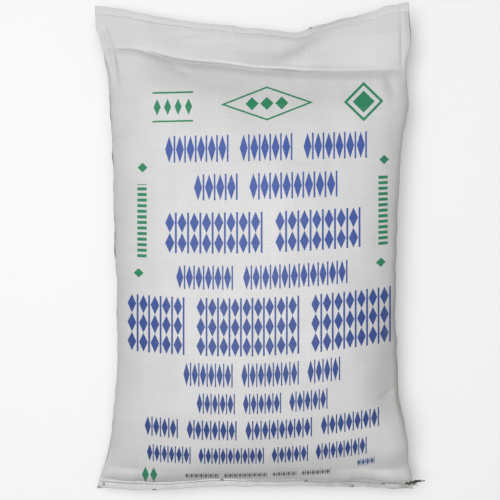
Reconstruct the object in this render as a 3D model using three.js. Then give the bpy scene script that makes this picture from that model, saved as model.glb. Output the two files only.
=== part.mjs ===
// A full sack of sugar, woven from flat plastic tape, lying on its back with its printed face up.
// The filled part is a tight pillow with a flat patch underneath. Above it the empty mouth of the
// sack makes a flap, which rolls forward over a crease and ends in a turned and sewn hem. The base
// is closed by a second hem, whose chain stitch leaves a tuft of thread at one corner.
//
// X runs across the sack, Y along it towards the mouth and Z up from the floor. Millimetres.
// The drawing starts at the middle of the sack, and the finished group is moved so that the
// middle of its footprint is the origin.
import * as THREE from "three";
import { LoftGeometry } from "three/addons/geometries/LoftGeometry.js";

// Driving dimensions
const FLAT_WIDTH = 580; // the empty sack, pressed flat
const CROWN = 190; // greatest height of the filled part
const HEM_DEPTH = 18; // width of the mouth's turned hem
const BASE_HEM = 14; // width of the base's, which droops
const BASE_HEM_HEIGHT = 70; // the base hem floats at this height
const CREASE_HEIGHT = 84; // so do the side edges where the flap begins
const FABRIC = 1.6; // half the thickness of a hem, four layers and the thread
const FLAP_FALL = 0.2; // how much the flap drops for each millimetre away from the crease
const ROLL_HEIGHT = 2.5; // how far the rolled fold stands above the fabric behind it
const THREAD_RADIUS = 0.8;
const THREAD_GAP = 0.9; // clear of the facets of the fabric that the thread lies on
const TUFT_RADIUS = 1.7;

// How finely the skin is drawn
const HALF_RING = 38; // facets across the face, and as many across the back
const THREAD_SIDES = 5;

const HALF_WIDTH = FLAT_WIDTH / 2;

// A smooth curve through [x, y] points that never overshoots them (monotone cubic).
function curveThrough(...points) {
  const slope = points.slice(1).map(([x, y], i) => (y - points[i][1]) / (x - points[i][0]));
  const tangent = points.map((_, i) => {
    const before = slope[Math.max(i - 1, 0)];
    const after = slope[Math.min(i, slope.length - 1)];
    return before * after <= 0 ? 0 : (2 * before * after) / (before + after);
  });
  return (x) => {
    if (x <= points[0][0]) return points[0][1];
    if (x >= points.at(-1)[0]) return points.at(-1)[1];
    const i = points.findLastIndex((p) => p[0] <= x);
    const width = points[i + 1][0] - points[i][0];
    const t = (x - points[i][0]) / width;
    return (
      (1 + 2 * t) * (1 - t) ** 2 * points[i][1] +
      t * (1 - t) ** 2 * width * tangent[i] +
      t * t * (3 - 2 * t) * points[i + 1][1] +
      t * t * (t - 1) * width * tangent[i + 1]
    );
  };
}

// 1 at the middle of a hump, falling smoothly to 0 over its spread.
const hump = (distance, spread) => Math.exp(-((distance / spread) ** 2));

// 0 below the lower bound, 1 above the upper one, and smooth between them.
const smooth = (value, low, high) => THREE.MathUtils.smoothstep(value, low, high);

// The plan of the sack: its two sides, its base, its crease and its mouth.
// Both sides draw in where the sugar fills the sack out, and flare to the full width at the hems.
const leftSide = curveThrough(
  [-447, -288], [-428, -282.5], [-375, -263], [-290, -252], [-200, -243.5], [-130, -246],
  [-60, -244.5], [10, -250], [80, -250], [150, -253], [250, -258], [300, -261], [342, -268],
  [380, -278], [408, -287], [450, -289],
);
const rightSide = curveThrough(
  [-445, 296], [-425, 293], [-385, 282], [-335, 277], [-290, 270], [-240, 267], [-100, 259],
  [-20, 260], [90, 264], [195, 272], [262, 283], [300, 281], [338, 279], [354, 284], [366, 287],
  [400, 285], [456, 284],
);
const baseLine = curveThrough(
  [-290, -447], [-180, -447], [-120, -443], [-90, -440], [190, -439.5], [215, -442.5],
  [240, -444], [290, -446],
);
const creaseLine = curveThrough(
  [-290, 361], [-235, 359], [-205, 352], [-160, 340], [-120, 334.5], [-60, 330], [0, 322.5],
  [50, 319], [100, 314.5], [160, 313.5], [230, 314.5], [290, 316],
);
const mouthLine = curveThrough(
  [-290, 444], [-240, 434], [-180, 420], [-121, 412.5], [-60, 407], [0, 402.5], [54, 401],
  [84, 397], [97, 400.5], [112, 408], [141, 414.5], [170, 420], [199, 423], [228, 430],
  [250, 438.5], [290, 445],
);

// The filled part in side view, by the distance from the base hem's edge.
const BODY_LENGTH = 764; // from that edge to the crease
const topHeight = curveThrough(
  [BASE_HEM, BASE_HEM_HEIGHT + FABRIC], [26, 92], [50, 126], [90, 156], [150, 177], [250, CROWN],
  [400, CROWN], [520, 184], [620, 168], [690, 144], [735, 112.5], [750, 101], [BODY_LENGTH, CREASE_HEIGHT],
);
const underHeight = curveThrough(
  [BASE_HEM, BASE_HEM_HEIGHT - FABRIC], [30, 50], [55, 21], [90, 1], [150, -13],
  [590, -13], [665, 3], [720, 32], [BODY_LENGTH, 60],
);
const sideHeight = curveThrough(
  [BASE_HEM, BASE_HEM_HEIGHT], [80, 76], [200, 90], [600, 92], [BODY_LENGTH, CREASE_HEIGHT],
);

// The flap in side view, by the distance from the crease: how far its two layers stand apart.
const flapAbove = curveThrough(
  [0, FABRIC], [3, 5.2], [6, 9.3], [9, 10.6], [14, 10.6], [40, 5.5], [80, FABRIC],
);
const flapBelow = curveThrough([0, 24], [20, 15], [45, 6], [70, FABRIC]);
const flapArch = curveThrough([0, 0], [12, 1.5], [40, 8.5], [100, 18]);

// How these change from the left of the sack to its right: the flap's step over the crease, the
// roll along that step, how steeply the mouth's hem droops, and how much of the hem then shows.
const stepAt = curveThrough(
  [-262, 0], [-215, 0.15], [-190, 0.5], [-150, 1], [70, 1], [150, 0.7], [290, 0.5],
);
const rollAt = curveThrough([-150, 0], [-40, 0.2], [30, 0.6], [80, 1], [225, 1], [282, 0.3]);
const mouthDroop = curveThrough(
  [-290, 0], [-150, 0.05], [-90, 0.15], [90, 0.3], [160, 0.3], [220, 0.1], [290, 0],
);
const hemShown = curveThrough([-290, 1], [-200, 0.9], [-120, 0.75], [120, 0.7], [220, 0.9], [290, 1]);

// A soft valley runs slantwise down the flap, gentler on its left. The corner to its right stands up.
const VALLEY_TOP = new THREE.Vector2(95, 395);
const VALLEY_FOOT = new THREE.Vector2(25, 340);
const VALLEY_DEPTH = 25;
const VALLEY_LEFT = 80; // how far its two flanks spread
const VALLEY_RIGHT = 22;
const CORNER_RISE = 24;
const waveAt = curveThrough([0, 0], [35, 0.7], [70, 1]);
function flapWave(x, y, fromCrease) {
  const along = VALLEY_FOOT.clone().sub(VALLEY_TOP).normalize();
  const aside = new THREE.Vector2(x, y).sub(VALLEY_TOP).cross(along);
  const valley = VALLEY_DEPTH * hump(aside, aside > 0 ? VALLEY_LEFT : VALLEY_RIGHT);
  return (CORNER_RISE * smooth(x, 80, 290) - valley) * waveAt(fromCrease);
}

// Broad dents and swellings that the load has taken: middle, direction, length, width and depth.
const DENTS = [
  { x: 262, y: -228, angle: 78, length: 170, width: 40, depth: 35 },
  { x: 258, y: -378, angle: 84, length: 120, width: 44, depth: -18 },
  { x: -262, y: -262, angle: 90, length: 110, width: 26, depth: 3 },
  { x: -190, y: 250, angle: 20, length: 160, width: 60, depth: -2.5 },
  { x: 60, y: 230, angle: 0, length: 220, width: 50, depth: 2.5 },
];
function dented(x, y) {
  return DENTS.reduce((sum, dent) => {
    const turn = THREE.MathUtils.degToRad(dent.angle);
    const along = (x - dent.x) * Math.cos(turn) + (y - dent.y) * Math.sin(turn);
    const aside = (y - dent.y) * Math.cos(turn) - (x - dent.x) * Math.sin(turn);
    return sum + dent.depth * hump(along, dent.length / 2) * hump(aside, dent.width);
  }, 0);
}

// How boxy a cross-section is: thin ears at the base corners, full in the body, flat in the flap.
const boxy = curveThrough([0, 8], [BASE_HEM, 8], [45, 2.8], [150, 2.3], [640, 2.3], [800, 6]);
const blunt = curveThrough([0, 2], [BASE_HEM, 2], [45, 1.2], [150, 2], [640, 2], [800, 2]);

// Plastic cloth under 50 kg lies dead flat on the floor, with a soft turn at the patch's rim.
const FLOOR_TURN = 3;
function settle(z) {
  if (z <= -FLOOR_TURN) return 0;
  if (z >= FLOOR_TURN) return z;
  return (z + FLOOR_TURN) ** 2 / (4 * FLOOR_TURN);
}

// One row of the sack's skin. `station` is the distance from the base hem's edge at the middle,
// up to BODY_LENGTH; beyond it the row lies in the flap, and the last rows in the mouth's hem.
const MOUTH_HEM = BODY_LENGTH + 100;
const MOUTH_EDGE = MOUTH_HEM + HEM_DEPTH;
const MOUTH_SEAM = MOUTH_HEM + 3; // where the stitches run
const BASE_SEAM = BASE_HEM - 3;
function rowY(station, x) {
  const crease = creaseLine(x);
  const hem = mouthLine(x) - HEM_DEPTH * hemShown(x);
  if (station <= BODY_LENGTH) return THREE.MathUtils.mapLinear(station, 0, BODY_LENGTH, baseLine(x), crease);
  if (station <= MOUTH_HEM) return THREE.MathUtils.mapLinear(station, BODY_LENGTH, MOUTH_HEM, crease, hem);
  return hem + (station - MOUTH_HEM) * hemShown(x);
}

// A point of the skin: `across` runs from -1 at the left side to 1 at the right, and `face` is
// 1 on the printed face and -1 on the back.
function skin(station, across, face) {
  const nominal = across * HALF_WIDTH;
  const left = leftSide(rowY(station, -HALF_WIDTH));
  const right = rightSide(rowY(station, HALF_WIDTH));
  const x = THREE.MathUtils.lerp(left, right, (across + 1) / 2);
  const y = rowY(station, nominal);
  const plump = (1 - Math.abs(across) ** boxy(station)) ** (1 / blunt(station));
  // Towards the left the body runs almost level into the flap.
  const level = 12 * hump(x + 207, 52) * smooth(station, 685, 768) * (1 - 0.4 * smooth(station, 775, 870));
  // At the right the crease is a shallower groove.
  const filled = face > 0 ? 5 * smooth(x, 30, 120) * hump(station - BODY_LENGTH, 14) : 0;
  if (station <= BODY_LENGTH) {
    const inHem = station < BASE_HEM;
    const atCorner = smooth(Math.abs(across), 0.6, 1) * (1 - smooth(station, BASE_HEM, 70));
    const cornerDroop = (10 - 5 * across) * atCorner;
    const centre = inHem ? BASE_HEM_HEIGHT - 0.55 * (BASE_HEM - station) : sideHeight(station);
    // The base's right corner is a flat ear, and its edge rises with the cloth beside it.
    const ear = 24 * smooth(across, 0.2, 1) * hump(station - 85, 45) * smooth(station, BASE_HEM, 60);
    const side = centre - cornerDroop + ear;
    const above = inHem ? FABRIC : topHeight(station) - side - cornerDroop;
    const below = inHem ? FABRIC : side - underHeight(station);
    const sunk = face > 0 ? dented(x, y) * smooth(station, 30, 90) : 0;
    const out = face > 0 ? above - sunk + filled : -below;
    return new THREE.Vector3(x, y, settle(side + out * plump + level));
  }
  const fromCrease = Math.max(y - creaseLine(nominal), 0);
  const droop = mouthDroop(x) * Math.max(station - MOUTH_HEM + 8, 0);
  const middle =
    CREASE_HEIGHT - FLAP_FALL * fromCrease +
    flapArch(fromCrease) * (1 - across ** 2) +
    flapWave(x, y, fromCrease) + level - droop;
  const hemStep = station > MOUTH_HEM ? 0.6 : 0;
  const roll = ROLL_HEIGHT * rollAt(x) * hump(fromCrease - 5, 5);
  const above = FABRIC + (flapAbove(fromCrease) - FABRIC) * stepAt(x) + roll + hemStep + filled;
  const below = flapBelow(fromCrease) + roll + hemStep;
  return new THREE.Vector3(x, y, middle + (face > 0 ? above : -below) * plump);
}

// The rows, closer together where the skin turns: [first station, last station, rows between].
const ROWS = [
  [0, BASE_SEAM, 1],
  [BASE_SEAM, BASE_HEM, 1],
  [BASE_HEM, 60, 6],
  [60, 160, 6],
  [160, 600, 13],
  [600, BODY_LENGTH, 10],
  [BODY_LENGTH, BODY_LENGTH + 26, 6],
  [BODY_LENGTH + 26, MOUTH_HEM, 5],
  [MOUTH_HEM + 1, MOUTH_SEAM, 1],
  [MOUTH_SEAM, MOUTH_EDGE, 1],
];

// The columns run from -1 at the left side to 1 at the right, closer together near the sides.
const EVENNESS = 0.4;
function column(i) {
  const t = i / HALF_RING;
  return THREE.MathUtils.lerp(-Math.cos(Math.PI * t), 2 * t - 1, EVENNESS);
}

// A closed ring of the skin, from the left side over the printed face and back underneath.
function ring(station) {
  const face = Array.from({ length: HALF_RING + 1 }, (_, i) => skin(station, column(i), 1));
  const back = Array.from({ length: HALF_RING - 1 }, (_, i) => skin(station, -column(i + 1), -1));
  return [...face, ...back];
}

function sack() {
  const stations = ROWS.flatMap(([first, last, count]) =>
    Array.from({ length: count }, (_, i) => first + ((last - first) * i) / count),
  );
  const cloth = new THREE.MeshStandardMaterial({ color: 0xd9dbd9, roughness: 0.55, metalness: 0 });
  const skinShape = new LoftGeometry([...stations, MOUTH_EDGE].map(ring), { capStart: true, capEnd: true });
  const mesh = new THREE.Mesh(skinShape, cloth);
  mesh.name = "sack";
  return mesh;
}

// A thread that runs roughly along X, through the given points.
function thread(name, points, radius) {
  const sections = points.map((p) =>
    Array.from({ length: THREAD_SIDES }, (_, i) => {
      const angle = (2 * Math.PI * i) / THREAD_SIDES;
      return new THREE.Vector3(p.x, p.y + radius * Math.cos(angle), p.z + radius * Math.sin(angle));
    }),
  );
  const cotton = new THREE.MeshStandardMaterial({ color: 0xe4e2da, roughness: 0.85, metalness: 0 });
  const mesh = new THREE.Mesh(new LoftGeometry(sections, { capStart: true, capEnd: true }), cotton);
  mesh.name = name;
  return mesh;
}

// The line of stitches along a hem, on one face of the sack. It stops just short of the sides.
const SIDE_COLUMNS = 2;
function stitches(name, station, face) {
  const lift = new THREE.Vector3(0, 0, face * (THREAD_RADIUS + THREAD_GAP));
  const points = Array.from({ length: HALF_RING + 1 - 2 * SIDE_COLUMNS }, (_, i) =>
    skin(station, column(i + SIDE_COLUMNS), face).add(lift),
  );
  return thread(name, points, THREAD_RADIUS);
}

// The twisted ends of the base thread and a few frayed tapes, past the right-hand corner.
function tuft() {
  const corner = skin(BASE_HEM / 2 + 2, 1, 1);
  const bends = [[0, 0, 0], [4, 1, 1], [8, 2.5, 1], [11, 4.5, 0], [14, 7, -1.5]];
  const points = bends.map(([x, y, z]) => new THREE.Vector3(x + THREAD_GAP, y, z).add(corner));
  return thread("thread_tuft", points, TUFT_RADIUS);
}

const drawing = new THREE.Group();
drawing.add(
  sack(),
  stitches("mouth_stitch_front", MOUTH_SEAM, 1),
  stitches("mouth_stitch_back", MOUTH_SEAM, -1),
  stitches("base_stitch_front", BASE_SEAM, 1),
  stitches("base_stitch_back", BASE_SEAM, -1),
  tuft(),
);

const extent = new THREE.Box3().setFromObject(drawing);
const centre = extent.getCenter(new THREE.Vector3());
drawing.position.set(-centre.x, -centre.y, -extent.min.z);

const part = new THREE.Group();
part.add(drawing);
export default part;
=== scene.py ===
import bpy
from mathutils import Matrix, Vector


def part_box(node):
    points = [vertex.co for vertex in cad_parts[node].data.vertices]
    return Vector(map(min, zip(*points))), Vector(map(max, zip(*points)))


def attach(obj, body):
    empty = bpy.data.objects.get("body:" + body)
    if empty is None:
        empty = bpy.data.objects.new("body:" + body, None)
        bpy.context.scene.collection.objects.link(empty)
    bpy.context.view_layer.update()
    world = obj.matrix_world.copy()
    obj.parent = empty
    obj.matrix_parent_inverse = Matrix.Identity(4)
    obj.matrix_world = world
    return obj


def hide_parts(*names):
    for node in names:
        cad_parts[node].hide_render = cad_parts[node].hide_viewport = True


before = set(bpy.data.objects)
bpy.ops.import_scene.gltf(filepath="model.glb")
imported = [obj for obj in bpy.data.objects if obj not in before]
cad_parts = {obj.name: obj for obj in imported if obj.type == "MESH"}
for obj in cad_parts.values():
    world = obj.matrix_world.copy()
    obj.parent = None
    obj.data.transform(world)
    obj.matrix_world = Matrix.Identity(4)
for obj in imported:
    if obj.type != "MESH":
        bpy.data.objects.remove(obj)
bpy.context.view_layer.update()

# A full sack of sugar, woven from white plastic tape, printed, and lying on its back.
# X runs across the sack, Y along it towards its mouth, and Z up. Shapes are worked out in
# millimetres from the middle of the sack, and set down where the frame's own sack lies.
import math

import bpy
import numpy as np
from mathutils import Vector, noise

MM = 0.001

# ------------------------------------------------------------------ the sack's driving sizes, mm
FLAT_WIDTH = 580  # the empty sack, pressed flat
HALF_WIDTH = FLAT_WIDTH / 2
CROWN = 190  # greatest height of the filled part
HEM_DEPTH = 18  # width of the mouth's turned hem
BASE_HEM = 14  # width of the base's
BASE_HEM_HEIGHT = 70  # the base's seam floats at this height
BASE_HEM_DROP = 0.25  # how much its hem drops for each millimetre outward
CREASE_HEIGHT = 84  # the side edges float at this height where the flap begins
CLOTH = 0.9  # half the thickness of the sack where its two layers lie together
FLAP_FALL = 0.2  # how much the flap drops for each millimetre away from the crease
ROLL_HEIGHT = 2.5  # how far the rolled fold stands above the cloth behind it
BODY_LENGTH = 764  # from the base hem's edge to the crease, at the middle
MOUTH_HEM = BODY_LENGTH + 100  # where the mouth's hem begins
MOUTH_EDGE = MOUTH_HEM + HEM_DEPTH
FLOOR_TURN = 3  # softness of the turn where the cloth meets the floor
OVERHANG = 1.5  # how far the rolled fold leans out over the crease
EYE_HEIGHT = 1700  # the camera looks straight down from here


def curve_through(*points):
    """A smooth curve through (x, y) points that never overshoots them."""
    x, y = np.array(points, float).T
    slope = np.diff(y) / np.diff(x)
    before, after = np.r_[slope[0], slope], np.r_[slope, slope[-1]]
    same_way = before * after > 0
    tangent = np.where(same_way, 2 * before * after / np.where(same_way, before + after, 1), 0)

    def at(value):
        v = np.clip(value, x[0], x[-1])
        i = np.clip(np.searchsorted(x, v, side="right") - 1, 0, len(x) - 2)
        width = x[i + 1] - x[i]
        t = (v - x[i]) / width
        start = (1 + 2 * t) * (1 - t) ** 2 * y[i] + t * (1 - t) ** 2 * width * tangent[i]
        end = t * t * (3 - 2 * t) * y[i + 1] + t * t * (t - 1) * width * tangent[i + 1]
        return start + end

    return at


def hump(distance, spread):
    """1 in the middle, falling smoothly to 0 over the spread."""
    return np.exp(-((distance / spread) ** 2))


def ramp(value, low, high):
    """0 below low, 1 above high, and smooth between them."""
    t = np.clip((value - low) / (high - low), 0, 1)
    return t * t * (3 - 2 * t)


# --------------------------------------------------------------------------- the plan of the sack
left_side = curve_through(
    (-447, -288), (-428, -282.5), (-375, -263), (-290, -252), (-200, -243.5), (-130, -246),
    (-60, -244.5), (10, -250), (80, -250), (150, -253), (250, -258), (300, -261), (342, -268),
    (380, -278), (408, -287), (450, -289))
right_side = curve_through(
    (-445, 296), (-425, 293), (-385, 282), (-335, 277), (-290, 270), (-240, 267), (-100, 259),
    (-20, 260), (90, 264), (195, 272), (262, 283), (300, 281), (338, 279), (354, 284), (366, 287),
    (400, 285), (456, 284))
base_line = curve_through(
    (-290, -447), (-180, -447), (-120, -443), (-90, -440), (190, -439.5), (215, -442.5),
    (240, -444), (290, -446))
crease_line = curve_through(
    (-290, 361), (-235, 359), (-205, 352), (-160, 340), (-120, 334.5), (-60, 330), (0, 322.5),
    (50, 319), (100, 314.5), (160, 313.5), (230, 314.5), (290, 316))
mouth_line = curve_through(
    (-290, 444), (-240, 434), (-180, 420), (-121, 412.5), (-60, 407), (0, 402.5), (54, 401),
    (84, 397), (97, 400.5), (112, 408), (141, 414.5), (170, 420), (199, 423), (228, 430),
    (250, 438.5), (290, 445))

# ------------------------------------- the filled part from the side, along from the base's edge
top_height = curve_through(
    (BASE_HEM, BASE_HEM_HEIGHT + CLOTH), (26, 92), (50, 126), (90, 156), (150, 177), (250, CROWN),
    (400, CROWN), (520, 184), (620, 168), (690, 144), (735, 112.5), (750, 101), (BODY_LENGTH, 84))
under_height = curve_through(
    (BASE_HEM, BASE_HEM_HEIGHT - CLOTH), (30, 50), (55, 21), (90, 1), (150, -13), (590, -13),
    (665, 3), (720, 32), (BODY_LENGTH, 60))
side_height = curve_through(
    (BASE_HEM, BASE_HEM_HEIGHT), (80, 76), (200, 90), (600, 92), (BODY_LENGTH, CREASE_HEIGHT))

# How boxy a cross-section is: thin ears at the corners, full in the body, flat in the flap.
boxy = curve_through((0, 8), (BASE_HEM, 8), (45, 2.8), (150, 2.3), (640, 2.3), (800, 6))
blunt = curve_through((0, 2), (BASE_HEM, 2), (45, 1.2), (150, 2), (640, 2), (800, 2))

# -------------------------------------------------- the empty flap, along from the crease outward
flap_above = curve_through(
    (0, 0.8), (3, 5.2), (6, 9.3), (9, 10.6), (14, 10.6), (40, 5.5), (80, CLOTH))
flap_below = curve_through((0, 24), (20, 15), (45, 6), (70, CLOTH))
flap_arch = curve_through((0, 0), (12, 1.5), (40, 8.5), (100, 18))

# How these change from the sack's left to its right: the flap's step over the crease, the roll along
# that step and its lean, how steeply the mouth's hem droops, and how much of the hem then shows.
step_at = curve_through(
    (-262, 0), (-215, 0.15), (-190, 0.5), (-150, 1), (70, 1), (150, 0.7), (290, 0.5))
roll_at = curve_through((-150, 0), (-40, 0.2), (30, 0.6), (80, 1), (225, 1), (282, 0.3))
lean_at = curve_through((-235, 0), (-180, 0.4), (-120, 1), (60, 1), (120, 0.1), (282, 0))
mouth_droop = curve_through(
    (-290, 0), (-150, 0.05), (-90, 0.15), (90, 0.3), (160, 0.3), (220, 0.1), (290, 0))
hem_shown = curve_through((-290, 1), (-200, 0.9), (-120, 0.75), (120, 0.7), (220, 0.9), (290, 1))

# The flap's valley, from the mouth down towards the crease.
VALLEY_TOP, VALLEY_FOOT = (95, 395), (25, 340)
VALLEY_DEPTH = 25
VALLEY_LEFT, VALLEY_RIGHT = 80, 22  # how far its two flanks spread
CORNER_RISE = 24  # how far the flap's right corner stands up
wave_at = curve_through((0, 0), (35, 0.7), (70, 1))  # how both grow from the crease

# The base's corners hang, the left one more. The edge of the right one rises beside its flat ear.
CORNER_DROOP, CORNER_UNEVEN = 10, 5  # 15 at the left and 5 at the right
EAR_RISE, EAR_MIDDLE, EAR_SPREAD = 22, 90, 60

# Towards the left the body runs almost level into the flap, and the crease is only a thin line.
LEVEL_RISE, LEVEL_MIDDLE, LEVEL_SPREAD = 12, -207, 52
LINE_DEPTH, LINE_SPREAD = 2.5, 3
LINE_START, LINE_FULL = -252, -235  # the line begins beside the left side

# Towards the right the crease is a shallower groove.
GROOVE_FILL, GROOVE_SPREAD = 5, 14

# Waves in the sewn cloth: height, length, how far they wander, over what length, and their phase.
BASE_WAVES = ((1.7, 8, 2.2, 29, 0), (1.6, 21, 0, 1, 1.3), (0.9, 4.6, 3, 17, 0))
EDGE_WAVES = ((0.7, 14, 2, 45, 0), (0.5, 6.3, 0, 1, 1))
MOUTH_WAVES = ((0.9, 17, 2, 50, 0),)
BASE_WAVES_FADE, EDGE_WAVES_FADE = 14, 8  # how far they reach into the cloth


def row_y(station, x):
    """The Y of a point of a row. Rows lean from the base's line to the crease's and the mouth's."""
    base, crease, hem = base_line(x), crease_line(x), mouth_line(x) - HEM_DEPTH * hem_shown(x)
    body = base + (crease - base) * station / BODY_LENGTH
    flap = crease + (hem - crease) * (station - BODY_LENGTH) / (MOUTH_HEM - BODY_LENGTH)
    mouth = hem + (station - MOUTH_HEM) * hem_shown(x)
    return np.where(station <= BODY_LENGTH, body, np.where(station <= MOUTH_HEM, flap, mouth))


def settle(z):
    """Cloth under 50 kg lies dead flat on the floor, with a soft turn at the patch's rim."""
    turning = (z + FLOOR_TURN) ** 2 / (4 * FLOOR_TURN)
    return np.where(z <= -FLOOR_TURN, 0, np.where(z >= FLOOR_TURN, z, turning))


def flap_wave(x, y, from_crease):
    """A valley runs slantwise down the flap, and the corner to its right stands up."""
    (top_x, top_y), (foot_x, foot_y) = VALLEY_TOP, VALLEY_FOOT
    aside = (x - top_x) * (foot_y - top_y) - (y - top_y) * (foot_x - top_x)
    aside = aside / math.hypot(foot_x - top_x, foot_y - top_y)  # more than 0 on its left
    valley = VALLEY_DEPTH * hump(aside, np.where(aside > 0, VALLEY_LEFT, VALLEY_RIGHT))
    return (CORNER_RISE * ramp(x, 80, 290) - valley) * wave_at(from_crease)


def wavy(x, waves):
    """The sum of a table's waves at each x."""
    return sum(
        height * np.sin(x / length + wander * np.sin(x / reach) + phase)
        for height, length, wander, reach, phase in waves)


def base_ripple(x, from_seam):
    """Stitching gathers the cloth of the base into small ripples that die out away from it."""
    return wavy(x, BASE_WAVES) * np.exp(-np.abs(from_seam) / BASE_WAVES_FADE)


def off_sides(across):
    """1 over the sack, and 0 at its side edges, where front and back meet."""
    return ramp(1 - np.abs(across), 0, 0.04)


def edge_waver(x, station):
    """A sewn edge is never quite straight."""
    near_base = np.exp(-station / EDGE_WAVES_FADE)
    near_mouth = np.exp(-np.maximum(MOUTH_EDGE - station, 0) / EDGE_WAVES_FADE)
    return wavy(x, EDGE_WAVES) * (near_base + near_mouth)


# Broad dents and swellings that the load has taken: the X and Y of the middle, the direction in
# degrees, the length, the width and the depth. A swelling's depth is less than 0.
DENTS = (
    (262, -228, 78, 170, 40, 35),  # the side is pushed in, low on the right
    (258, -378, 84, 120, 44, -18),
    (-262, -262, 90, 110, 26, 3),
    (262, 262, 90, 60, 26, -4),
    (-190, 250, 20, 160, 60, -2.5),
    (60, 230, 0, 220, 50, 2.5),
)

# Narrow folds in the same terms. In the flap and at the sides they go through both layers.
FOLDS = (
    (-267, 389, 113, 64, 4, 3.5),  # the left side's crease, running down off the flap
    (-250, 332, 102, 92, 4.5, 7.5),
    (84, 364, 38, 50, 8, 4.0),  # the head of the flap's valley
    (270, 372, 90, 120, 3.2, 3.4),  # the right side's pressed crease
    (130, 391, 21, 84, 9, 3.2),  # a groove under the hem, to the right of the valley
    (231, 290, 85, 56, 8, -3.5),  # folds below the crease, at its right end
    (251, 286, 88, 60, 8, 4.5),
    (-132, 318, 155, 80, 10, 3.6),  # a wrinkle that runs down from the crease's bend
    (270, -150, 84, 150, 22, 15),  # the narrow part of the dent in the right side
    (276, -246, 82, 120, 40, 22),
    (243, -262, 18, 54, 5, 6.5),
    (-120, 385, 5, 90, 5, 0.8),  # faint lines under the mouth's hem
    (-40, 372, 175, 60, 4, 0.8),
    (150, 385, 20, 60, 6, 1.0),
    (-215, -405, 60, 40, 6, 1.6),  # gathers at the base
    (-150, -412, 100, 34, 6, 1.2),
    (150, -410, 80, 40, 6, 1.4),
    (232, -400, 120, 46, 7, 2.0),
    (-262, 60, 60, 40, 6, 2.0),  # slight creases along the sides
    (-256, -70, 115, 50, 7, 2.5),
    (-250, -190, 70, 44, 6, 2.0),
    (262, 60, 105, 44, 6, 2.5),
    (258, -40, 75, 50, 7, 2.0),
    (-170, -430, 20, 44, 3, 2.4),  # wrinkles that run into the base's hem
    (-60, -426, 170, 60, 3, 1.8),
    (190, -430, 172, 50, 3, 2.4),
    (255, -434, 165, 44, 3, 2.6),
    (-262, -434, 12, 34, 3, 2.0),
    (190, -424, 178, 250, 15, -10),  # the cloth stands up to the base's seam, at its right
    (60, -424, 180, 170, 13, -3),
)


def pressed(x, y, marks, shortened):
    """How deep the marks of a table go at each point. Shortened marks end sooner than their length."""
    depth_here = np.zeros_like(x)
    for at_x, at_y, angle, length, width, depth in marks:
        c, s = math.cos(math.radians(angle)), math.sin(math.radians(angle))
        along, aside = (x - at_x) * c + (y - at_y) * s, (y - at_y) * c - (x - at_x) * s
        depth_here += depth * hump(along, length / 2) ** shortened * hump(aside, width)
    return depth_here


def groove_fill(station, x, face):
    """How much shallower the crease is towards the right."""
    return GROOVE_FILL * ramp(x, 30, 120) * hump(station - BODY_LENGTH, GROOVE_SPREAD) * (face > 0)


def body_z(station, across, face, x, y, plump, creased, level):
    """Heights on the filled part, and on the base's hem."""
    in_hem = station < BASE_HEM
    droop = CORNER_DROOP - CORNER_UNEVEN * across
    droop = droop * ramp(np.abs(across), 0.6, 1) * (1 - ramp(station, BASE_HEM, 70))  # by the corners
    hem_height = BASE_HEM_HEIGHT - BASE_HEM_DROP * (BASE_HEM - station)
    side = np.where(in_hem, hem_height, side_height(station)) - droop
    ear = EAR_RISE * ramp(across, 0.2, 1) * hump(station - EAR_MIDDLE, EAR_SPREAD)
    side = side + ear * ramp(station, BASE_HEM, 80)
    above = np.where(in_hem, CLOTH, top_height(station) - side - droop)
    below = np.where(in_hem, CLOTH, side - under_height(station))
    sunk = np.where(face > 0, pressed(x, y, DENTS, 1), 0) * ramp(station, 30, 90)
    line = LINE_DEPTH * hump(station - BODY_LENGTH, LINE_SPREAD) * (1 - step_at(x))
    line = line * ramp(x, LINE_START, LINE_FULL) * (face > 0)
    ripple = base_ripple(x, station - BASE_HEM) * off_sides(across)
    out = np.where(face > 0, above - sunk + groove_fill(station, x, face), -below)
    return settle(side + out * plump - creased - line + level + ripple)


def flap_z(station, across, face, x, y, from_crease, plump, creased, level):
    """Heights on the empty flap, and on the mouth's hem."""
    droop = mouth_droop(x) * np.maximum(station - MOUTH_HEM + 8, 0)
    middle = (CREASE_HEIGHT - FLAP_FALL * from_crease + flap_arch(from_crease) * (1 - across ** 2)
              + flap_wave(x, y, from_crease) + level - droop - creased)
    ripple = wavy(x, MOUTH_WAVES) * ramp(station, MOUTH_HEM - 30, MOUTH_EDGE)
    middle = middle + ripple * off_sides(across)
    roll = ROLL_HEIGHT * roll_at(x) * hump(from_crease - 5, 5)
    above = CLOTH + (flap_above(from_crease) - CLOTH) * step_at(x) + roll
    above = above + groove_fill(station, x, face)
    return middle + np.where(face > 0, above, -flap_below(from_crease) - roll) * plump


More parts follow.
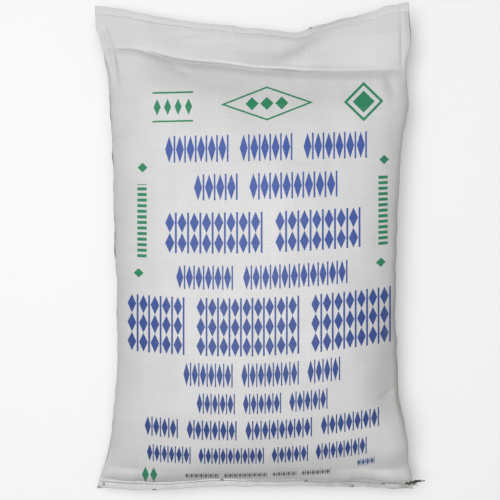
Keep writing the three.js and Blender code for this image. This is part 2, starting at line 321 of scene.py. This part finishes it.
def skin(station, across, face):
    """Points of the skin. across runs from -1 at the left to 1, and face is 1 in front, -1 behind."""
    nominal = across * HALF_WIDTH
    left = left_side(row_y(station, -HALF_WIDTH + 0 * nominal))
    right = right_side(row_y(station, HALF_WIDTH + 0 * nominal))
    x = left + (right - left) * (across + 1) / 2
    y = row_y(station, nominal)
    plump = np.clip(1 - np.abs(across) ** boxy(station), 0, 1) ** (1 / blunt(station))
    from_crease = np.maximum(y - crease_line(nominal), 0)
    # Folds go through the flap's two layers, but on the body they fade out round its sides.
    through = np.maximum(ramp(np.abs(across), 0.86, 1), ramp(station, 730, BODY_LENGTH))
    creased = pressed(x, y, FOLDS, 2) * np.where(face > 0, 1, through)
    level = LEVEL_RISE * hump(x - LEVEL_MIDDLE, LEVEL_SPREAD)
    level = level * ramp(station, 685, 768) * (1 - 0.4 * ramp(station, 775, 870))
    body = body_z(station, across, face, x, y, plump, creased, level)
    flap = flap_z(station, across, face, x, y, from_crease, plump, creased, level)
    z = np.where(station <= BODY_LENGTH, body, flap)
    # The rolled fold leans a little towards the base, over the valley under it.
    lean = OVERHANG * lean_at(x) * hump(station - BODY_LENGTH - 8, 5) * (face > 0) * (1 - across ** 8)
    return np.stack((x, y - lean + edge_waver(x, station), z), axis=-1)


# ------------------------------------------------------------------------------- modelling by hand
def only(obj):
    """Deselects everything else and makes obj the active object."""
    bpy.ops.object.select_all(action="DESELECT")
    obj.select_set(True)
    bpy.context.view_layer.objects.active = obj


def named(name):
    """Names the object that was just added, and returns it."""
    obj = bpy.context.object
    obj.name = obj.data.name = name
    return obj


def set_points(obj, points):
    obj.data.vertices.foreach_set("co", np.asarray(points, np.float32).ravel())
    obj.data.update()


def get_points(obj, what="co"):
    source = obj.data.vertex_normals if what == "normal" else obj.data.vertices
    found = np.empty(len(source) * 3, np.float32)
    source.foreach_get("vector" if what == "normal" else "co", found)
    return found.reshape(-1, 3)


def finish_piece(obj, material, slot, *nodes):
    """Smooths a piece, gives it its material, and ties it to the frame."""
    only(obj)
    bpy.ops.object.shade_smooth()
    obj.data.materials.clear()
    obj.data.materials.append(material)
    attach(obj, "root")
    if nodes:
        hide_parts(*nodes)


# ------------------------------------------------------------------------------------- the cloth
COLUMNS = 150  # across the face, and as many across the back
EVENNESS = 0.4  # 0 crowds the columns at the sides, 1 spaces them evenly
PINCH = 3  # the tube is shut this far inside the edges of the hems
ROW_BANDS = (  # rows of the cloth, closer together where it turns: from, to, about how far apart
    (PINCH, BASE_HEM, 3), (BASE_HEM, 60, 2.8), (60, 736, 4), (736, BODY_LENGTH - 1, 2.25),
    (BODY_LENGTH - 1, BODY_LENGTH + 1, 0.25), (BODY_LENGTH + 1, 785, 1.4),
    (785, MOUTH_EDGE - PINCH, 3.5))
SAME_PLACE = 0.02  # vertices closer than this are one

# How far the cloth is drawn in or pushed out: by the base's seam and the side edges, which both let go
# of it away from them, and by the load everywhere.
SEAM_PULL, SEAM_FADE = 3.2, 45
SIDE_PULL, SIDE_FADE = 2.2, 0.07  # its fade is a share of the sack's half width
BROAD_PUSH, SMALL_PUSH = 2.4, 1.0

# The print is drawn as it looks from above at one height. Its rows climb towards the right and bend up
# at both ends, by this much for each square millimetre, the most towards the base.
PRINT_LEVEL = 90
PRINT_CLIMB = 0.025
print_bend = curve_through(
    (-425, 0.00005), (-385, 0.0003), (-330, 0.00038), (-145, 0.00032), (27, 0.00014), (177, 0))
OFF_PRINT = 5  # plain cloth takes its place this many metres off the print


def uneven(x, y, face, wide, long, layer):
    """Smooth noise about so many millimetres wide and long, another one for each layer and face."""
    return np.array([noise.noise((u / wide, v / long, f + layer)) for u, v, f in zip(x, y, face)])


def relief(x, y, station, across, face):
    """How far the cloth puckers and rolls along its normal, mm."""
    seam = SEAM_PULL * np.exp(-np.maximum(station - BASE_HEM, 0) / SEAM_FADE) * (station > BASE_HEM)
    side = SIDE_PULL * np.exp(-(1 - np.abs(across)) / SIDE_FADE)
    side = side * ramp(station, 40, 120) * (1 - ramp(station, 700, 760))
    load = ramp(station, BASE_HEM, 60) * (1 - ramp(station, MOUTH_HEM - 40, MOUTH_HEM))
    pushed = BROAD_PUSH * uneven(x, y, face, 90, 60, 9) + SMALL_PUSH * uneven(x, y, face, 34, 48, 14)
    pulled = seam * uneven(x, y, face, 38, 300, 0) + side * uneven(x, y, face, 300, 26, 5)
    # In the crease the normals cross, so nothing is moved along them there.
    return (pulled + pushed * load) * (1 - hump(station - BODY_LENGTH, 14))


def lay_uv(obj, name, places):
    """Gives a piece a UV map, from one place (in metres) for each vertex."""
    vertex = np.empty(len(obj.data.loops), np.int32)
    obj.data.loops.foreach_get("vertex_index", vertex)
    layer = obj.data.uv_layers.get(name) or obj.data.uv_layers.new(name=name)
    layer.data.foreach_set("uv", places[vertex].astype(np.float32).ravel())


def print_place(points, face):
    """Where each point of the cloth lies on the print."""
    seen = points[:, :2] * ((EYE_HEIGHT - PRINT_LEVEL) / (EYE_HEIGHT - points[:, 2]))[:, None]
    x, y = seen.T
    places = np.stack((x, y - PRINT_CLIMB * x - print_bend(y) * x ** 2), axis=-1) * MM
    places[face < 0] += OFF_PRINT
    return places


def merge_and_turn_out(threshold):
    """Merges the doubles of the mesh in edit mode, and turns its faces outward."""
    bpy.ops.mesh.select_all(action="SELECT")
    bpy.ops.mesh.remove_doubles(threshold=threshold)
    bpy.ops.mesh.normals_make_consistent(inside=False)


def weave_sack():
    """The tube of cloth: a grid rolled round, filled out, and pinched shut at both ends."""
    stations = np.concatenate([
        np.linspace(start, end, round((end - start) / pitch), endpoint=False)
        for start, end, pitch in ROW_BANDS])
    stations = np.append(stations, MOUTH_EDGE - PINCH)
    bpy.ops.mesh.primitive_grid_add(
        x_subdivisions=2 * COLUMNS, y_subdivisions=len(stations) - 1, size=2, calc_uvs=True)
    sack = named("sack_cloth")
    flat = get_points(sack)
    turn = (flat[:, 0] + 1) * COLUMNS  # 0 at the left side, COLUMNS at the right, and back again
    face = np.where(turn <= COLUMNS, 1.0, -1.0)
    t = np.where(face > 0, turn, 2 * COLUMNS - turn) / COLUMNS
    across = -np.cos(math.pi * t) * (1 - EVENNESS) + (2 * t - 1) * EVENNESS
    across[(turn < 0.5) | (turn > 2 * COLUMNS - 0.5)] = -1  # the grid's two ends meet
    station = stations[np.rint((flat[:, 1] + 1) / 2 * (len(stations) - 1)).astype(int)]
    points = skin(station, across, face)
    ends = (station == stations[0]) | (station == stations[-1])
    other = skin(station, across, -face)
    points[ends] = (points[ends] + other[ends]) / 2
    set_points(sack, points)
    lift = relief(points[:, 0], points[:, 1], station, across, face)
    lift *= np.where(face > 0, 1, ramp(points[:, 2], 3, 25))  # the floor holds the back still
    lift[ends] = 0
    points = points + get_points(sack, "normal") * lift[:, None]
    points[:, 2] = np.maximum(points[:, 2], 0)
    set_points(sack, points)
    # The material paints shade on the cloth where it turns under at its right side.
    across_here = sack.data.attributes.new("across", "FLOAT", "POINT")
    across_here.data.foreach_set("value", across.astype(np.float32))
    sack.data.uv_layers[0].name = "cloth"
    round_it = (turn - COLUMNS / 2) * (FLAT_WIDTH / COLUMNS)
    lay_uv(sack, "cloth", np.stack((round_it, station), axis=-1) * MM)
    lay_uv(sack, "print", print_place(points, face))
    only(sack)
    bpy.ops.object.mode_set(mode="EDIT")
    merge_and_turn_out(SAME_PLACE)
    bpy.ops.object.mode_set(mode="OBJECT")
    return sack


# ------------------------------------------------------------------------------------- materials
def linear(hex_colour):
    """An sRGB hex colour as the linear RGBA that Blender works in."""
    channels = [int(hex_colour[i:i + 2], 16) / 255 for i in (1, 3, 5)]
    return (*[c / 12.92 if c <= 0.04045 else ((c + 0.055) / 1.055) ** 2.4 for c in channels], 1)


def add(tree, kind, sockets=(), **settings):
    """Adds a shader node with its settings, and fills its sockets, by name or in their order."""
    made = tree.nodes.new("ShaderNode" + kind)
    for key, value in settings.items():
        setattr(made, key, value)
    if not isinstance(sockets, dict):
        sockets = dict(enumerate(sockets))
    for socket, value in sockets.items():
        if isinstance(value, bpy.types.NodeSocket):
            tree.links.new(value, made.inputs[socket])
        else:
            made.inputs[socket].default_value = value
    return made.outputs


def new_material(name):
    material = bpy.data.materials.new(name)
    material.use_nodes = True
    tree = material.node_tree
    return material, tree, tree.nodes["Principled BSDF"]


# Printed rows: top and bottom, where the row starts, its pitch (mm), how many lozenges stand on one
# another, and how many figures each block holds. A gap of one pitch parts the blocks.
BLUE_ROWS = (
    (205, 156, -158, 19.3, 1, (6, 5, 6)),
    (134, 86, -106, 20.1, 1, (4, 8)),
    (64, -11, -158, 22.2, 2, (8, 7)),
    (-33, -77, -138, 17.3, 1, (6, 11)),
    (-92, -198, -226, 20.8, 3, (5, 9, 7)),
    (-211, -254, -125, 15.0, 1, (6, 7, 4)),
    (-266, -303, -101, 14.0, 1, (5, 5, 5)),
    (-315, -350, -195, 15.2, 1, (4, 6, 8, 7)),
    (-364, -393, -191, 13.3, 1, (6, 9, 5, 7)),
)
GREY_ROWS = ((-408.5, -417, -122, 8.8, 1, (7, 9, 5, 6)),)
SMALL_ROWS = ((-400, -411, 190, 8.0, 1, (4,)),)
LOZENGE_SHARE = 0.75  # a lozenge's width and the bar's place and half width, as shares of the pitch
BAR_PLACE, BAR_HALF = 0.87, 0.08

# The second ink's shapes (mm): each one's middle and its reach, and an outline's width.
TOP_BARS = (((-144, 284), (37, 1.6)), ((-144, 232), (37, 1.6)))
LOZENGES = (
    *[((-144 + 19 * i, 258), (6.5, 15)) for i in (-1.5, -0.5, 0.5, 1.5)],  # four between the bars
    ((202, 259), (36, 36), 6.5),  # one in another
    ((202, 259), (20, 20)),
    ((26.5, 260), (84, 31), 3.3),  # three in a long one
    *[((26.5 + 27 * i, 260), (12, 12)) for i in (-1, 0, 1)],
    *[((-186 + 15 * i, -412), (6.5, 10.5)) for i in (-0.5, 0.5)],  # two beside the base
    *[(end, (9, 9)) for end in ((-199, 148), (-206, -51), (239, 152), (233, -44))],
)
SIDE_COLUMNS = ((-200, 117, -22), (237, 124, -14))  # middle, top and bottom, between the last four
COLUMN_HALF = 8.5
STEP, STEP_INKED = 10.5, 0.56  # the pitch of a column's bars, and how much of it each one fills


def figures(tree, x, y, rows):
    """1 where there is ink: rows of upright lozenges parted by bars, gathered into blocks."""
    inked = 0.0
    for top, bottom, start, pitch, stack, blocks in rows:
        middle, half = (top + bottom) / 2 * MM, (top - bottom) / 2 * MM
        place = (x, 1 / (pitch * MM), -start / pitch)
        place = add(tree, "Math", place, operation="MULTIPLY_ADD")[0]
        slot = add(tree, "Math", (place,), operation="FLOOR")[0]
        first, filled = 0, 0.0
        for count in blocks:
            block = (slot, first + (count - 1) / 2, count / 2 - 0.25)
            block = add(tree, "Math", block, operation="COMPARE")[0]
            filled = add(tree, "Math", (filled, block), operation="ADD")[0]
            first += count + 1
        in_row = add(tree, "Math", (y, middle, half), operation="COMPARE")[0]
        in_row = add(tree, "Math", (in_row, filled), operation="MULTIPLY")[0]
        along = add(tree, "Math", (place,), operation="FRACT")[0]
        off = add(tree, "Math", (along, 2 / LOZENGE_SHARE, -1), operation="MULTIPLY_ADD")[0]
        off = add(tree, "Math", (off,), operation="ABSOLUTE")[0]
        level = (y, stack / 2 / half, stack / 2 * (1 - middle / half))
        level = add(tree, "Math", level, operation="MULTIPLY_ADD")[0]
        level = add(tree, "Math", (level,), operation="FRACT")[0]
        up = add(tree, "Math", (level, 2, -1), operation="MULTIPLY_ADD")[0]
        up = add(tree, "Math", (up,), operation="ABSOLUTE")[0]
        away = add(tree, "Math", (off, up), operation="ADD")[0]
        lozenge = add(tree, "Math", (away, 1.0), operation="LESS_THAN")[0]
        bar = add(tree, "Math", (along, BAR_PLACE, BAR_HALF), operation="COMPARE")[0]
        figure = add(tree, "Math", (lozenge, bar), operation="MAXIMUM")[0]
        inked = add(tree, "Math", (in_row, figure, inked), operation="MULTIPLY_ADD")[0]
    return inked


def distance(tree, x, y, at, reach):
    """How far each point lies from a place along X and along Y, in units of the reach."""
    found = []
    for value, middle, half in zip((x, y), at, reach):
        away = (value, 1 / (half * MM), -middle / half)
        away = add(tree, "Math", away, operation="MULTIPLY_ADD")[0]
        found.append(add(tree, "Math", (away,), operation="ABSOLUTE")[0])
    return found


def box_shape(tree, x, y, at, reach):
    """A rectangle."""
    farther = add(tree, "Math", distance(tree, x, y, at, reach), operation="MAXIMUM")[0]
    return add(tree, "Math", (farther, 1.0), operation="LESS_THAN")[0]


def lozenge_shape(tree, x, y, at, reach, line=None):
    """A lozenge, or the outline of one where a line's width is given."""
    away = add(tree, "Math", distance(tree, x, y, at, reach), operation="ADD")[0]
    shape = add(tree, "Math", (away, 1.0), operation="LESS_THAN")[0]
    if line:
        outer = add(tree, "Math", (away, 1 - line / min(reach)), operation="GREATER_THAN")[0]
        shape = add(tree, "Math", (shape, outer), operation="MULTIPLY")[0]
    return shape


def green_shapes(tree, x, y):
    """The second ink: three ornaments of lozenges and bars at the top, and a column at each side."""
    shapes = [box_shape(tree, x, y, *bar) for bar in TOP_BARS]
    shapes += [lozenge_shape(tree, x, y, *lozenge) for lozenge in LOZENGES]
    step = add(tree, "Math", (y, 1 / (STEP * MM)), operation="MULTIPLY")[0]
    step = add(tree, "Math", (step,), operation="FRACT")[0]
    step = add(tree, "Math", (step, STEP_INKED), operation="LESS_THAN")[0]
    for middle, top, bottom in SIDE_COLUMNS:
        reach = (COLUMN_HALF, (top - bottom) / 2)
        column = box_shape(tree, x, y, (middle, (top + bottom) / 2), reach)
        shapes.append(add(tree, "Math", (column, step), operation="MULTIPLY")[0])
    total = shapes[0]
    for shape in shapes[1:]:
        total = add(tree, "Math", (total, shape), operation="MAXIMUM")[0]
    return total


TAPE = 3.8  # width of a tape, mm: real ones are about 2.5, and are drawn wider so that they show
TAPE_BOW = 0.4  # how soon a tape is level beside its edges


def woven_tapes(tree, cloth):
    """Tapes over and under one another: how high each point stands, and each tape's own shade."""
    sines, bows, shades = [], [], []
    for along in add(tree, "SeparateXYZ", (cloth,))[:2]:
        sine = add(tree, "Math", (along, math.pi / (TAPE * MM)), operation="MULTIPLY")[0]
        sine = add(tree, "Math", (sine,), operation="SINE")[0]
        bow = add(tree, "Math", (sine,), operation="ABSOLUTE")[0]
        number = add(tree, "Math", (along, 1 / (TAPE * MM)), operation="MULTIPLY")[0]
        number = add(tree, "Math", (number,), operation="FLOOR")[0]
        sines.append(sine)
        bows.append(add(tree, "Math", (bow, TAPE_BOW), operation="POWER")[0])
        shades.append(add(tree, "TexWhiteNoise", {"W": number}, noise_dimensions="1D")["Value"])
    over = add(tree, "Math", sines, operation="MULTIPLY")[0]
    over = add(tree, "Math", (over, 0.0), operation="GREATER_THAN")[0]
    return [add(tree, "Mix", {0: over, 2: a, 3: b})[0] for a, b in (bows, shades)]


def soil_and_painted_shade(tree, where):
    """How soiled the cloth is, and how much shade is painted on it, from 0 to 1."""
    place = add(tree, "SeparateXYZ", (where,))
    # Handling has soiled it by the base's seam, most of all at its right end. Along the seam the
    # darkening is partly painted shade under the thread, and at its left corner it is painted shade of
    # the folded cloth.
    near = add(tree, "MapRange", (place[1], -0.424, -0.44, 0.0, 1.0))[0]
    rightward = add(tree, "MapRange", (place[0], 0.05, 0.29, 0.1, 1.0))[0]
    left_corner_shade = add(tree, "MapRange", (place[0], -0.272, -0.288, 0.0, 1.0))[0]
    outward = add(tree, "Math", (rightward, left_corner_shade), operation="MAXIMUM")[0]
    patchy = {"Vector": where, "Scale": 45.0, "Detail": 4.0, "Roughness": 0.7}
    patchy = add(tree, "TexNoise", patchy)[0]
    patchy = add(tree, "MapRange", (patchy, 0.42, 0.62, 0.1, 0.85))[0]
    seam = add(tree, "Math", (outward, patchy), operation="MULTIPLY")[0]
    seam = add(tree, "Math", (near, seam), operation="MULTIPLY")[0]
    # Painted shade darkens its right side where it turns under, but not at its corners.
    turned = add(tree, "Attribute", attribute_name="across")["Fac"]
    turned = add(tree, "MapRange", (turned, 0.945, 1.0, 0.0, 0.85))[0]
    low = add(tree, "MapRange", (place[1], 0.16, -0.12, 0.25, 1.0))[0]
    corner = add(tree, "MapRange", (place[1], -0.29, -0.35, 1.0, 0.2))[0]
    side = add(tree, "Math", (turned, low), operation="MULTIPLY")[0]
    side = add(tree, "Math", (side, corner), operation="MULTIPLY")[0]
    return add(tree, "Math", (seam, side), operation="MAXIMUM")[0]


def printed_cloth():
    """Woven polypropylene: flat, slippery ribbons of white plastic, a little glossy, in oily ink."""
    material, tree, shader = new_material("printed woven polypropylene")
    cloth = add(tree, "UVMap", uv_map="cloth")[0]
    layout = add(tree, "UVMap", uv_map="print")[0]
    where = add(tree, "TexCoord")["Object"]
    height, shade = woven_tapes(tree, cloth)
    grime = {"Vector": where, "Scale": 9.0, "Detail": 5.0, "Roughness": 0.6}
    grime = add(tree, "TexNoise", grime)[0]
    clean = add(tree, "MapRange", (grime, 0.35, 0.7, 1.0, 0.92))[0]
    tone = add(tree, "Math", (shade, 0.04, 0.96), operation="MULTIPLY_ADD")[0]
    tone = add(tree, "Math", (tone, clean), operation="MULTIPLY")[0]
    # Painted shade darkens each tape towards its edges, where it dips under the next.
    gap_shade = add(tree, "Math", (height, 0.08, 0.92), operation="MULTIPLY_ADD")[0]
    tone = add(tree, "Math", (tone, gap_shade), operation="MULTIPLY")[0]
    white = {"Factor": 1.0, 6: linear("#b8b8b8"), 7: tone}
    white = add(tree, "Mix", white, data_type="RGBA", blend_type="MULTIPLY")[2]
    # Soil and painted shade darken the cloth towards this colour.
    soiled = {"Factor": soil_and_painted_shade(tree, where), 6: white, 7: linear("#7c7c70")}
    colour = add(tree, "Mix", soiled, data_type="RGBA")[2]
    # The ink bleeds a little along the tapes, and is thin on their edges and where it has worn.
    bleed = add(tree, "TexNoise", {"Vector": layout, "Scale": 260.0, "Detail": 2.0})[1]
    moved = (bleed, (0.0012, 0.0012, 0), layout)
    moved = add(tree, "VectorMath", moved, operation="MULTIPLY_ADD")[0]
    x, y = add(tree, "SeparateXYZ", (moved,))[:2]
    worn = {"Vector": layout, "Scale": 120.0, "Detail": 4.0, "Roughness": 0.7}
    worn = add(tree, "TexNoise", worn)[0]
    worn = add(tree, "MapRange", (worn, 0.3, 0.5, 0.94, 1.0))[0]
    cover = add(tree, "Math", (height, 0.07, 0.93), operation="MULTIPLY_ADD")[0]
    cover = add(tree, "Math", (worn, cover), operation="MULTIPLY")[0]
    # The blue ink is darker towards the base.
    darker_to_base = add(tree, "MapRange", (y, 0.15, -0.35, 0.0, 1.0))[0]
    blue = {"Factor": darker_to_base, 6: linear("#214086"), 7: linear("#10306c")}
    blue = add(tree, "Mix", blue, data_type="RGBA")[2]
    for shape, ink in (
            (figures(tree, x, y, BLUE_ROWS), blue),
            (figures(tree, x, y, SMALL_ROWS), linear("#34487a")),
            (figures(tree, x, y, GREY_ROWS), linear("#505257")),
            (green_shapes(tree, x, y), linear("#006c47"))):
        amount = add(tree, "Math", (shape, cover), operation="MULTIPLY")[0]
        colour = add(tree, "Mix", {"Factor": amount, 6: colour, 7: ink}, data_type="RGBA")[2]
    tree.links.new(colour, shader.inputs["Base Color"])
    bump = add(tree, "Bump", {"Height": height, "Distance": 0.0004, "Strength": 0.6})[0]
    tree.links.new(bump, shader.inputs["Normal"])
    shader.inputs["Roughness"].default_value = 0.6
    shader.inputs["IOR"].default_value = 1.49  # polypropylene
    return material


def sewing_thread(name, colour):
    """Twisted spun thread: matte, slightly hairy, greyed by handling."""
    material, tree, shader = new_material(name)
    where = add(tree, "TexCoord")["Object"]
    twist = {"Vector": where, "Scale": 500.0, "Distortion": 1.0}
    twist = add(tree, "TexWave", twist, bands_direction="DIAGONAL")[1]
    soil = add(tree, "TexNoise", {"Vector": where, "Scale": 30.0, "Detail": 4.0})[0]
    soil = add(tree, "MapRange", (soil, 0.3, 0.7, 0.72, 1.0))[0]
    # Painted shade darkens the grooves of the twist.
    tone = add(tree, "Math", (twist, 0.25, 0.75), operation="MULTIPLY_ADD")[0]
    tone = add(tree, "Math", (soil, tone), operation="MULTIPLY")[0]
    shade = {"Factor": 1.0, 6: linear(colour), 7: tone}
    shade = add(tree, "Mix", shade, data_type="RGBA", blend_type="MULTIPLY")[2]
    tree.links.new(shade, shader.inputs["Base Color"])
    bump = add(tree, "Bump", {"Height": twist, "Distance": 0.0002, "Strength": 0.7})[0]
    tree.links.new(bump, shader.inputs["Normal"])
    shader.inputs["Roughness"].default_value = 0.85
    return material


# ---------------------------------------------------------------------------- the hems and seams
STITCH = 9.0  # length of one stitch
THREAD = 1.1  # thickness of the sewing thread
SEWN = 0.985  # share of the sack's width that is sewn
STITCHES = round(FLAT_WIDTH * SEWN / STITCH)
HEM_CLOTH = 1.3  # the turned cloth of a hem stands this far out of the sack, on both sides
HEM_TAPER = 0.45  # share of its width over which a hem is pressed thin towards its free edge
HEM_INSIDE = 0.3  # a hem is closed this far above and below the middle of the sack's cloth
PUCKER = 0.35  # how much the stitches draw a hem in, as a share of its thickness
LINK_HALF = 1.5  # half the width of a link of the chain


def hem(name, free_edge, fold, shift):
    """A turned hem: cloth folded round the sack's end, from a free edge in front to one behind."""
    inward = 1 if fold > free_edge else -1
    half = CLOTH + HEM_CLOTH
    taper = HEM_TAPER * abs(fold - free_edge)
    front = [
        (s, half - HEM_CLOTH * max(0, 1 - abs(s - free_edge) / taper))
        for s in np.linspace(free_edge, fold - inward * half, 8)]
    round_end = [
        (fold - inward * half * (1 - math.cos(a)), half * math.sin(a))
        for a in np.radians(np.linspace(80, -80, 7))]
    inside = [(free_edge, -HEM_INSIDE), (free_edge, HEM_INSIDE)]
    profile = np.array(front + round_end + [(s, -h) for s, h in front[::-1]] + inside)
    bpy.ops.mesh.primitive_grid_add(
        x_subdivisions=2 * COLUMNS, y_subdivisions=len(profile), size=2, calc_uvs=True)
    band = named(name)
    flat = get_points(band)
    across = np.clip(flat[:, 0], -1, 1)
    ring = np.rint((flat[:, 1] + 1) / 2 * len(profile)).astype(int) % len(profile)
    station, out = profile[ring].T
    one = np.ones_like(across)
    points = (skin(station, across, one) + skin(station, across, -one)) / 2 + shift
    drawn_in = np.array([noise.noise((a * 30, 3, 0)) for a in across])
    drawn_in = PUCKER * drawn_in * np.cos(across * HALF_WIDTH * 2 * math.pi / STITCH)
    points[:, 2] += out * (1 + drawn_in * (np.abs(out) > 1))
    set_points(band, points * MM)
    # Its back takes other tapes than its front.
    places = np.stack(((across + 1) * HALF_WIDTH, station + 40 * (out < 0)), axis=-1) * MM
    band.data.uv_layers[0].name = "cloth"
    lay_uv(band, "cloth", places)
    lay_uv(band, "print", places + OFF_PRINT)
    only(band)
    bpy.ops.object.mode_set(mode="EDIT")
    merge_and_turn_out(SAME_PLACE * MM)
    # A face closes each of its two ends.
    bpy.ops.mesh.select_all(action="DESELECT")
    bpy.ops.mesh.select_non_manifold(
        extend=False, use_wire=False, use_multi_face=False, use_non_contiguous=False, use_verts=False)
    bpy.ops.mesh.edge_face_add()
    merge_and_turn_out(SAME_PLACE * MM)
    bpy.ops.object.mode_set(mode="OBJECT")
    return band


def laid_thread(name, points, thickness):
    """A round thread through the given points, mm."""
    bpy.ops.curve.primitive_nurbs_path_add(location=(0, 0, 0))
    thread = named(name)
    spline = thread.data.splines[0]
    spline.points.add(len(points) - len(spline.points))
    spline.points.foreach_set("co", np.c_[np.asarray(points) * MM, np.ones(len(points))].ravel())
    spline.order_u, spline.use_endpoint_u = 3, True
    thread.data.resolution_u = 2
    thread.data.bevel_depth, thread.data.bevel_resolution = thickness / 2 * MM, 1
    thread.data.use_fill_caps = True
    only(thread)
    bpy.ops.object.convert(target="MESH")
    return thread


def joined(pieces):
    """Joins pieces into the first of them."""
    only(pieces[0])
    for piece in pieces[1:]:
        piece.select_set(True)
    bpy.ops.object.join()
    return pieces[0]


def seam_points(t, station, face, shift):
    """The points of the skin beside a seam, t stitches along it."""
    across = (t / STITCHES * 2 - 1) * SEWN
    return skin(np.full_like(across, station), across, face) + shift


def stitches(name, station, face, shift):
    """A running row of stitches: over the cloth, down through its hole, and up again."""
    t = np.repeat(np.arange(STITCHES), 4) + np.tile((0.0, 0.16, 0.84, 1.0), STITCHES)
    height = np.tile((-0.9, 0.45, 0.45, -0.9), STITCHES)  # in threads, from the hem's cloth
    points = seam_points(t, station, face, shift)
    points[:, 2] += face * (HEM_CLOTH + height * THREAD)
    return laid_thread(name, points, THREAD)


def chain(name, station, face, shift):
    """The looper's side of the seam: links that lie through one another."""
    t = np.linspace(0, STITCHES, STITCHES * 8 + 1)
    threads = []
    for side in (1, -1):
        points = seam_points(t, station, face, shift)
        points[:, 1] += side * LINK_HALF * np.sin(math.pi * t)
        points[:, 2] += face * (HEM_CLOTH + THREAD * (0.45 + 0.4 * side * np.cos(math.pi * t)))
        threads.append(laid_thread(name, points, THREAD))
    return joined(threads)


# The tuft and the loose ends, mm.
TUFT_STRANDS, STRAND = 7, 2.0  # how many ends are tangled together, and how thick each one is
TUFT_RADIUS, TUFT_LENGTH, TUFT_SPREAD = 3.9, 20, 16  # its strands are up to the spread longer
CORNER_TAPES = ((-2.0, 0.5), (1.5, -1.2), (6.0, 1.0))  # how far each bends aside and rises
CORNER_TAPE, FRAY = 0.8, 1.3  # how thick a tape out of the corner is, and an end along the hems
FRAYS = (  # those ends: the station, the place across, and the length to the left or right
    (3, -0.985, -5), (7, -0.97, 4), (1, -0.64, 5), (12, -0.2, -6), (11, 0.31, 6), (2, 0.62, -4),
    (10, 0.8, 5), (MOUTH_EDGE - 1, 0.375, 5))


def skin_point(station, across, shift):
    """One point of the skin's face."""
    return skin(np.array([float(station)]), np.array([across]), np.array([1.0]))[0] + shift


def tuft(shift):
    """The ends of the base thread, tangled together, with a few tapes frayed out of the corner."""
    root = skin_point(8, 1.0, shift)
    strands = []
    for turn in range(TUFT_STRANDS):
        t = np.linspace(0, 1, 16)
        angle = turn * 2 * math.pi / TUFT_STRANDS + t * (6 + turn)
        swell = TUFT_RADIUS * (1 - 0.8 * t) * (0.6 + 0.4 * math.sin(turn * 2.1))
        length = TUFT_LENGTH + TUFT_SPREAD * (turn % 3) / 2
        path = np.stack((-14 + length * t, 4.5 + 4.5 * t ** 2 + swell * np.cos(angle),
                         4.4 - 3 * t + swell * np.sin(angle)), axis=-1)
        strands.append(laid_thread("loose_threads", root + path, STRAND))
    for bend, rise in CORNER_TAPES:
        t = np.linspace(0, 1, 8)
        path = np.stack((-6 + 16 * t, 1 + bend * t ** 2, 1 + rise * t), axis=-1)
        strands.append(laid_thread("loose_threads", root + path, CORNER_TAPE))
    for station, across, length in FRAYS:
        t = np.linspace(0, 1, 6)
        path = np.stack((length * t, 3 * np.sin(3 * t) - 1.5, 2.4 + 0 * t), axis=-1)
        path = skin_point(station, across, shift) + path
        strands.append(laid_thread("loose_threads", path, FRAY))
    return joined(strands)


# ------------------------------------------------------------------------------ the whole sack
cloth_material = printed_cloth()
mouth_thread = sewing_thread("spun sewing thread", "#e2e2e0")
base_thread = sewing_thread("handled sewing thread", "#96968c")
dirty_thread = sewing_thread("soiled thread ends", "#464a43")
sack = weave_sack()
low_corner = np.array((left_side(450), base_line(-290), 0))
shift = np.array(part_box("sack")[0]) / MM - low_corner
set_points(sack, (get_points(sack) + shift) * MM)
finish_piece(sack, cloth_material, "woven_plastic", "sack")
finish_piece(hem("mouth_hem", MOUTH_HEM, MOUTH_EDGE, shift), cloth_material, "woven_plastic")
finish_piece(hem("base_hem", BASE_HEM, 0, shift), cloth_material, "woven_plastic")
for end, station, thread in (
        ("mouth", MOUTH_HEM + 3, mouth_thread), ("base", BASE_HEM - 3, base_thread)):
    row = stitches(end + "_stitches", station, 1, shift)
    finish_piece(row, thread, "thread", end + "_stitch_front")
    links = chain(end + "_chain", station, -1, shift)
    finish_piece(links, thread, "thread", end + "_stitch_back")
finish_piece(tuft(shift), dirty_thread, "thread", "thread_tuft")

# ---------------------------------------------------------------------- floor, light and camera
LENS = 63.95
PICTURE_MIDDLE = (-4.6, -5.5)  # what the camera looks straight down on, in the sack's own drawing, mm

bpy.ops.mesh.primitive_plane_add(size=12, location=(0, 0, -0.0005))
floor = named("floor")
floor_material, _, floor_shader = new_material("matte white studio floor")
floor_shader.inputs["Base Color"].default_value = linear("#d2d2d2")
floor_shader.inputs["Roughness"].default_value = 0.9
floor.data.materials.append(floor_material)

eye = (*((shift[:2] + PICTURE_MIDDLE) * MM), EYE_HEIGHT * MM)
bpy.ops.object.camera_add(location=eye, rotation=(0, 0, 0))
camera = bpy.context.object
camera.data.lens = LENS
bpy.context.scene.camera = camera


def soft_light(name, place, aim, size, power):
    """A square softbox, turned towards what it lights."""
    bpy.ops.object.light_add(type="AREA", location=place)
    light = bpy.context.object
    light.name = name
    light.data.size = size
    light.data.energy = power
    light.rotation_euler = (Vector(aim) - Vector(place)).to_track_quat("-Z", "Y").to_euler()


soft_light("key_softbox", place=(-0.42, 0.22, 3.6), aim=(0, 0, 0), size=2.4, power=172)
world = bpy.data.worlds.new("studio")
world.use_nodes = True
world.node_tree.nodes["Background"].inputs["Color"].default_value = (1, 1, 1, 1)
world.node_tree.nodes["Background"].inputs["Strength"].default_value = 0.30
bpy.context.scene.world = world
bpy.context.scene.view_settings.view_transform = "Standard"
